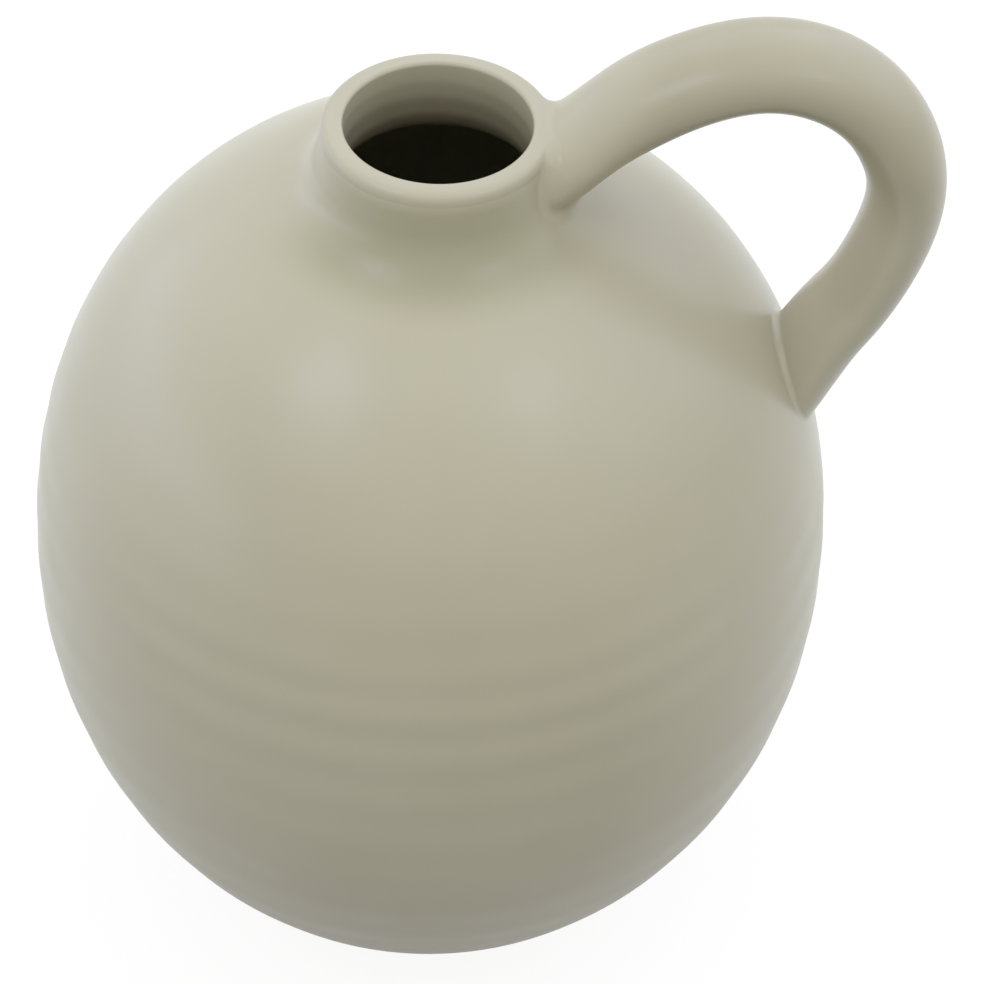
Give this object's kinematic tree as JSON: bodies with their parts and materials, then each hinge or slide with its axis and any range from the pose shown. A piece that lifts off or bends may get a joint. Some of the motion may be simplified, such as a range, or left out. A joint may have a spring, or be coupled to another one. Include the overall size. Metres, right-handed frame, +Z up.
{
  "type": "ceramic jug",
  "caption": "Egg-shaped stoneware jug with a short round collar, a rolled lip and a loop handle from lip to shoulder.",
  "frame": {"origin": "on the jug's axis, in the plane of the foot ring that it stands on", "axes": "+Z up along the jug's axis, +X from the axis towards the handle, +Y across the handle"},
  "size_m": [0.2202, 0.2, 0.2693],
  "materials": {
    "glaze": "satin grey-beige glaze",
    "bare_clay": "unglazed fired stoneware"
  },
  "bodies": {
    "root": {"lower_body": "glaze", "upper_body": "glaze", "neck_collar": "glaze", "neck_luting_coil": "glaze", "handle": "glaze", "upper_handle_luting": "glaze", "lower_handle_luting": "glaze", "foot_ring": "bare_clay"}
  },
  "joints": []
}
